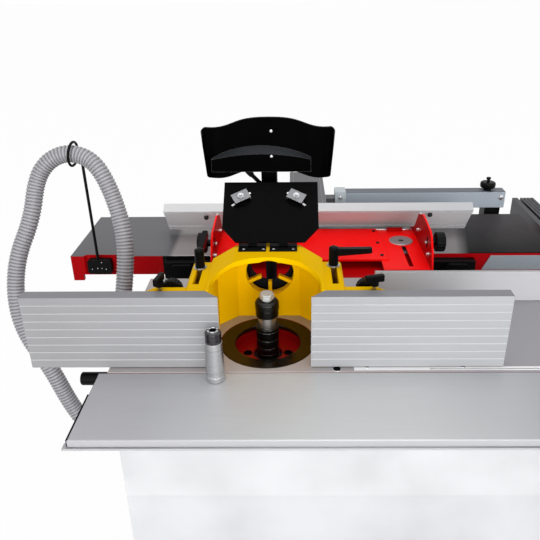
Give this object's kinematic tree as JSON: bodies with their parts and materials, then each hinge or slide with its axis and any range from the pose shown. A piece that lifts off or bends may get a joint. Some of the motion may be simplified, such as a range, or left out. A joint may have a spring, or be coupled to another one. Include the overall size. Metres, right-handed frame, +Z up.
{
  "type": "combination woodworking machine",
  "caption": "Combination woodworking machine: spindle moulder with hood and fences, table saw with sliding table, and planer thicknesser with tilting fence, on one cabinet with a dust hose",
  "frame": {"origin": "the middle of the machine's box seen from above, on the floor under its feet; the dust hose isn't counted", "axes": "+X along the saw cut to the operator's right, +Y away from the operator at the sliding table, +Z up"},
  "size_m": [1.6412, 1.37, 1.297],
  "materials": {
    "cabinet_paint": "satin",
    "foot_rubber": "matte",
    "switch_plastic": "matte",
    "start_green": "gloss",
    "stop_red": "gloss",
    "wheel_black": "satin",
    "table_iron": "ground",
    "insert_aluminium": "bright",
    "ring_iron": "gloss",
    "bowl_red": "satin",
    "column_steel": "ground",
    "quill_iron": "rough",
    "drive_paint": "satin",
    "spindle_steel": "polished",
    "spacer_steel": "polished",
    "bolt_steel": "polished",
    "saw_iron": "rough",
    "blade_steel": "ground",
    "rail_steel": "satin",
    "slide_aluminium": "anodised",
    "handle_black": "satin",
    "chuck_steel": "polished",
    "hood_yellow": "gloss",
    "fence_aluminium": "anodised",
    "lever_black": "satin",
    "hinge_black": "satin",
    "flap_black": "satin",
    "shield_black": "gloss",
    "post_black": "satin",
    "rip_rail_dark": "anodised",
    "rip_aluminium": "anodised",
    "planer_paint": "satin",
    "support_red": "gloss",
    "planer_iron": "ground",
    "cutter_steel": "ground",
    "roller_steel": "ribbed",
    "bed_iron": "ground",
    "motor_paint": "satin",
    "carriage_red": "gloss",
    "arm_paint": "satin",
    "bar_aluminium": "anodised",
    "holder_black": "satin",
    "hose_plastic": "ribbed"
  },
  "bodies": {
    "machine": {"base_cabinet": "cabinet_paint", "saw_housing": "cabinet_paint", "levelling_feet": "foot_rubber", "fixed_table": "table_iron", "table_ring": "ring_iron", "spindle_bowl": "bowl_red", "table_insert": "insert_aluminium", "slide_rail": "rail_steel", "guide_columns": "column_steel", "planer_frame": "planer_paint", "fence_support": "support_red", "outfeed_table": "planer_iron", "rip_rail": "rip_rail_dark", "dust_hose": "hose_plastic", "guard_post": "post_black", "shield_post": "post_black", "switch_box": "switch_plastic", "planer_motor": "motor_paint"},
    "quill": {"quill_carriage": "quill_iron", "spindle_drive": "drive_paint"},
    "spindle": {"spindle_shaft": "spindle_steel", "spacer_rings": "spacer_steel", "spindle_bolt": "bolt_steel"},
    "hood": {"spindle_hood": "hood_yellow", "flap_hinges": "hinge_black"},
    "infeed": {"infeed_table": "planer_iron", "hose_holder": "holder_black"},
    "cabinet_door": {"cabinet_door": "cabinet_paint"},
    "start_button": {"start_button": "start_green"},
    "stop_button": {"stop_button": "stop_red"},
    "spindle_handwheel": {"spindle_handwheel": "wheel_black"},
    "saw_handwheel": {"saw_handwheel": "wheel_black"},
    "bed_handwheel": {"bed_handwheel": "wheel_black"},
    "saw_carriage": {"saw_carriage": "saw_iron"},
    "saw_blade": {"saw_blade": "blade_steel"},
    "sliding_table": {"sliding_table": "slide_aluminium"},
    "lock_handle": {"lock_handle": "handle_black"},
    "collet_chuck": {"collet_chuck": "chuck_steel"},
    "left_fence_plate": {"left_fence_plate": "fence_aluminium"},
    "right_fence_plate": {"right_fence_plate": "fence_aluminium"},
    "left_clamp_lever": {"left_clamp_lever": "lever_black"},
    "right_clamp_lever": {"right_clamp_lever": "lever_black"},
    "left_t_knob": {"left_t_knob": "lever_black"},
    "right_t_knob": {"right_t_knob": "lever_black"},
    "left_adjust_wheel": {"left_adjust_wheel": "lever_black"},
    "right_adjust_wheel": {"right_adjust_wheel": "lever_black"},
    "hood_flap": {"hood_flap": "flap_black"},
    "guard_shield": {"guard_shield": "shield_black"},
    "rip_fence": {"rip_fence": "rip_aluminium"},
    "rip_lever": {"rip_lever": "handle_black"},
    "cutter_block": {"cutter_block": "cutter_steel"},
    "infeed_roller": {"infeed_roller": "roller_steel"},
    "outfeed_roller": {"outfeed_roller": "roller_steel"},
    "thickness_bed": {"thickness_bed": "bed_iron"},
    "fence_carriage": {"fence_carriage": "carriage_red"},
    "planer_fence": {"planer_fence": "fence_aluminium"},
    "tilt_knob": {"tilt_knob": "handle_black"},
    "guard_arm": {"guard_arm": "arm_paint"},
    "arm_knob": {"arm_knob": "handle_black"},
    "guard_bar": {"guard_bar": "bar_aluminium"}
  },
  "joints": [
    {"name": "door_hinge", "type": "hinge", "parent": "machine", "child": "cabinet_door", "pos_m": [0.484, 0.067, 0.26], "axis": [0, 0, 1], "range_deg": [0, 110]},
    {"name": "start_press", "type": "slide", "parent": "machine", "child": "start_button", "axis": [-1, 0, 0], "range_m": [0, 0.003], "stiffness_N_per_m": 400},
    {"name": "stop_press", "type": "slide", "parent": "machine", "child": "stop_button", "axis": [-1, 0, 0], "range_m": [0, 0.003], "stiffness_N_per_m": 400},
    {"name": "quill_rise", "type": "slide", "parent": "machine", "child": "quill", "axis": [0, 0, 1], "range_m": [-0.03, 0.05]},
    {"name": "spindle_wheel_turn", "type": "hinge", "parent": "machine", "child": "spindle_handwheel", "pos_m": [-0.286, -0.476, 0.26], "axis": [0, 1, 0], "range_deg": [-541, 901]},
    {"name": "spindle_spin", "type": "hinge", "parent": "quill", "child": "spindle", "pos_m": [-0.166, -0.358, 0.86], "axis": [0, 0, 1], "continuous": true},
    {"name": "saw_rise", "type": "slide", "parent": "machine", "child": "saw_carriage", "axis": [0, 0, 1], "range_m": [0, 0.085]},
    {"name": "saw_wheel_turn", "type": "hinge", "parent": "machine", "child": "saw_handwheel", "pos_m": [0.164, -0.476, 0.26], "axis": [0, 1, 0], "range_deg": [0, 1531]},
    {"name": "saw_spin", "type": "hinge", "parent": "saw_carriage", "child": "saw_blade", "pos_m": [0.304, -0.4645, 0.72], "axis": [0, 1, 0], "continuous": true},
    {"name": "table_slide", "type": "slide", "parent": "machine", "child": "sliding_table", "axis": [1, 0, 0], "range_m": [-0.4, 0.3]},
    {"name": "lock_turn", "type": "hinge", "parent": "machine", "child": "lock_handle", "pos_m": [-0.492, -0.45, 0.827], "axis": [1, 0, 0], "range_deg": [-90, 90]},
    {"name": "chuck_lift", "type": "slide", "parent": "sliding_table", "child": "collet_chuck", "axis": [0, 0, 1], "range_m": [0, 0.12]},
    {"name": "rip_slide", "type": "slide", "parent": "machine", "child": "rip_fence", "axis": [0, 1, 0], "range_m": [-0.12, 0.05]},
    {"name": "rip_lever_turn", "type": "hinge", "parent": "rip_fence", "child": "rip_lever", "pos_m": [0.719, -0.1555, 0.89], "axis": [0, 0, 1], "range_deg": [0, 90]},
    {"name": "hood_slide", "type": "slide", "parent": "machine", "child": "hood", "axis": [0, 1, 0], "range_m": [0, 0.015]},
    {"name": "left_plate_slide", "type": "slide", "parent": "hood", "child": "left_fence_plate", "axis": [1, 0, 0], "range_m": [-0.04, 0.03]},
    {"name": "right_plate_slide", "type": "slide", "parent": "hood", "child": "right_fence_plate", "axis": [1, 0, 0], "range_m": [-0.03, 0.04]},
    {"name": "left_t_knob_turn", "type": "hinge", "parent": "hood", "child": "left_t_knob", "pos_m": [-0.38, -0.415, 1.018], "axis": [0, 0, 1], "continuous": true},
    {"name": "right_t_knob_turn", "type": "hinge", "parent": "hood", "child": "right_t_knob", "pos_m": [0.054, -0.415, 1.018], "axis": [0, 0, 1], "continuous": true},
    {"name": "left_clamp_turn", "type": "hinge", "parent": "machine", "child": "left_clamp_lever", "pos_m": [-0.31, -0.32, 1.023], "axis": [0, 0, 1], "range_deg": [0, 60]},
    {"name": "right_clamp_turn", "type": "hinge", "parent": "machine", "child": "right_clamp_lever", "pos_m": [-0.022, -0.311, 1.023], "axis": [0, 0, 1], "range_deg": [-30, 60]},
    {"name": "left_adjust_turn", "type": "hinge", "parent": "hood", "child": "left_adjust_wheel", "pos_m": [-0.36, -0.402, 1.008], "axis": [0, 1, 0], "continuous": true},
    {"name": "right_adjust_turn", "type": "hinge", "parent": "hood", "child": "right_adjust_wheel", "pos_m": [0.042, -0.402, 1.008], "axis": [0, 1, 0], "continuous": true},
    {"name": "flap_hinge", "type": "hinge", "parent": "hood", "child": "hood_flap", "pos_m": [-0.161, -0.24, 1.041], "axis": [1, 0, 0], "range_deg": [0, 143]},
    {"name": "shield_slide", "type": "slide", "parent": "machine", "child": "guard_shield", "axis": [0, 0, 1], "range_m": [0, 0.12]},
    {"name": "infeed_rise", "type": "slide", "parent": "machine", "child": "infeed", "axis": [0, 0, 1], "range_m": [0, 0.0025]},
    {"name": "cutter_spin", "type": "hinge", "parent": "machine", "child": "cutter_block", "pos_m": [-0.061, 0.2665, 0.8275], "axis": [0, 1, 0], "continuous": true},
    {"name": "infeed_roller_spin", "type": "hinge", "parent": "machine", "child": "infeed_roller", "pos_m": [-0.136, 0.2665, 0.798], "axis": [0, 1, 0], "continuous": true},
    {"name": "outfeed_roller_spin", "type": "hinge", "parent": "machine", "child": "outfeed_roller", "pos_m": [0.014, 0.2665, 0.798], "axis": [0, 1, 0], "continuous": true},
    {"name": "bed_rise", "type": "slide", "parent": "machine", "child": "thickness_bed", "axis": [0, 0, 1], "range_m": [0, 0.15]},
    {"name": "bed_wheel_turn", "type": "hinge", "parent": "machine", "child": "bed_handwheel", "pos_m": [0.084, 0.444, 0.26], "axis": [0, 1, 0], "range_deg": [0, 2701]},
    {"name": "carriage_slide", "type": "slide", "parent": "machine", "child": "fence_carriage", "axis": [0, 1, 0], "range_m": [-0.04, 0.005]},
    {"name": "fence_tilt", "type": "hinge", "parent": "fence_carriage", "child": "planer_fence", "pos_m": [-0.0325, 0.283, 0.8725], "axis": [1, 0, 0], "range_deg": [-40, 3]},
    {"name": "tilt_knob_turn", "type": "hinge", "parent": "fence_carriage", "child": "tilt_knob", "pos_m": [0.2635, 0.04, 0.928], "axis": [1, 0, 0], "continuous": true},
    {"name": "guard_arm_lift", "type": "hinge", "parent": "machine", "child": "guard_arm", "pos_m": [0.586, 0.464, 0.916], "axis": [0, 1, 0], "range_deg": [0, 18]},
    {"name": "guard_bar_slide", "type": "slide", "parent": "guard_arm", "child": "guard_bar", "axis": [0, 1, 0], "range_m": [-0.01, 0.15]},
    {"name": "arm_knob_turn", "type": "hinge", "parent": "guard_arm", "child": "arm_knob", "pos_m": [0.543, 0.464, 0.936], "axis": [0, 0, 1], "continuous": true}
  ],
  "couplings": [
    {"joint": "spindle_wheel_turn", "follows": "quill_rise", "rad_per_m": 314.16},
    {"joint": "saw_wheel_turn", "follows": "saw_rise", "rad_per_m": 314.16},
    {"joint": "bed_wheel_turn", "follows": "bed_rise", "rad_per_m": 314.16}
  ]
}
